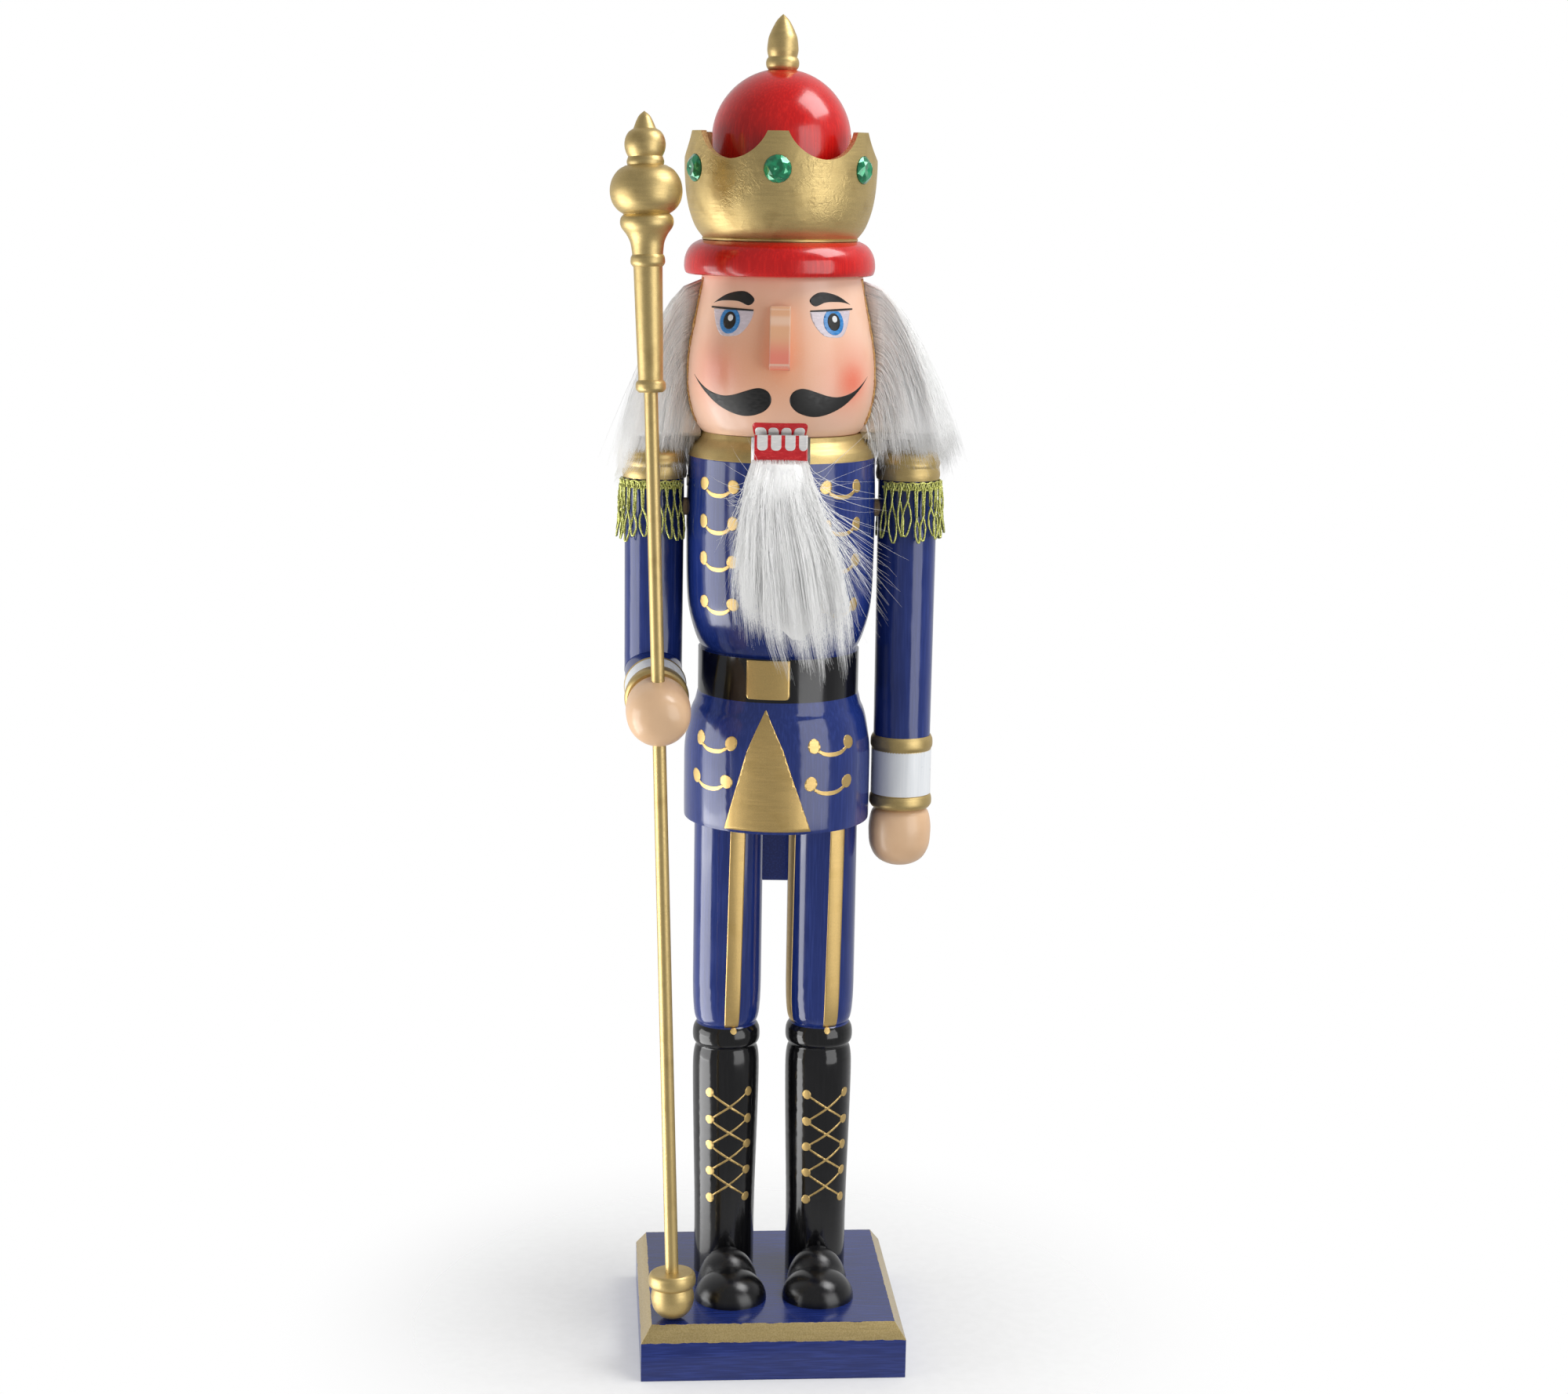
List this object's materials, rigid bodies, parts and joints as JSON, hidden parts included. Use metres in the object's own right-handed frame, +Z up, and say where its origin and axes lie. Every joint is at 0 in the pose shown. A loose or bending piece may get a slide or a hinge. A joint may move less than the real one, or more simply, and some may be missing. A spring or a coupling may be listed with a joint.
{
  "type": "nutcracker figure",
  "caption": "Standing wooden nutcracker king on a square plinth, with a lever-worked jaw, fur hair and beard, and a long staff sliding in its hand.",
  "frame": {"origin": "on the plinth's underside, under the axis of the turned head", "axes": "+Z up the figure, +X to the figure's left, the face towards -Y"},
  "size_m": [0.1541, 0.1351, 0.61],
  "materials": {
    "blue_lacquer": "gloss blue lacquer on turned wood",
    "gold_paint": "satin metallic gold paint on turned wood",
    "black_lacquer": "gloss black lacquer on turned wood",
    "red_lacquer": "gloss red lacquer on turned wood",
    "face_paint": "satin flesh-coloured paint on turned wood",
    "white_paint": "satin white paint on turned wood",
    "bare_wood": "bare beech dowel",
    "zinc_steel": "zinc-plated steel",
    "white_fur": "long-pile white imitation fur",
    "green_stone": "foil-backed faceted acrylic stone",
    "gold_cord": "twisted metallic bullion cord"
  },
  "bodies": {
    "root": {"base": "blue_lacquer", "base_screws": "zinc_steel", "right_leg": "blue_lacquer", "left_leg": "blue_lacquer", "leg_dowels": "bare_wood", "right_shoe": "black_lacquer", "left_shoe": "black_lacquer", "torso": "blue_lacquer", "lever_pin": "zinc_steel", "head": "face_paint", "neck_dowels": "bare_wood", "nose": "face_paint", "hair": "white_fur", "hat_brim": "red_lacquer", "hat_dowel": "bare_wood", "crown": "gold_paint", "crown_dome": "red_lacquer", "finial": "gold_paint", "gems": "green_stone", "right_upper_arm": "blue_lacquer", "right_forearm": "white_paint", "elbow_dowel": "bare_wood", "right_hand": "face_paint", "left_arm": "blue_lacquer", "left_hand": "face_paint", "shoulder_dowels": "bare_wood", "wrist_dowels": "bare_wood", "right_fringe": "gold_cord", "left_fringe": "gold_cord"},
    "lever": {"jaw_lever": "blue_lacquer", "beard": "white_fur"},
    "staff": {"staff_rod": "gold_paint", "staff_head": "gold_paint", "staff_foot": "gold_paint"}
  },
  "joints": [
    {"name": "jaw", "type": "hinge", "parent": "root", "child": "lever", "pos_m": [-0.00024, -0.00399, 0.404], "axis": [0.9981, -0.061, 0], "range_deg": [0, 22], "deforming": ["beard"]},
    {"name": "staff_slide", "type": "slide", "parent": "root", "child": "staff", "axis": [-0.0296, 0.041, 0.9987], "range_m": [0, 0.24]}
  ]
}
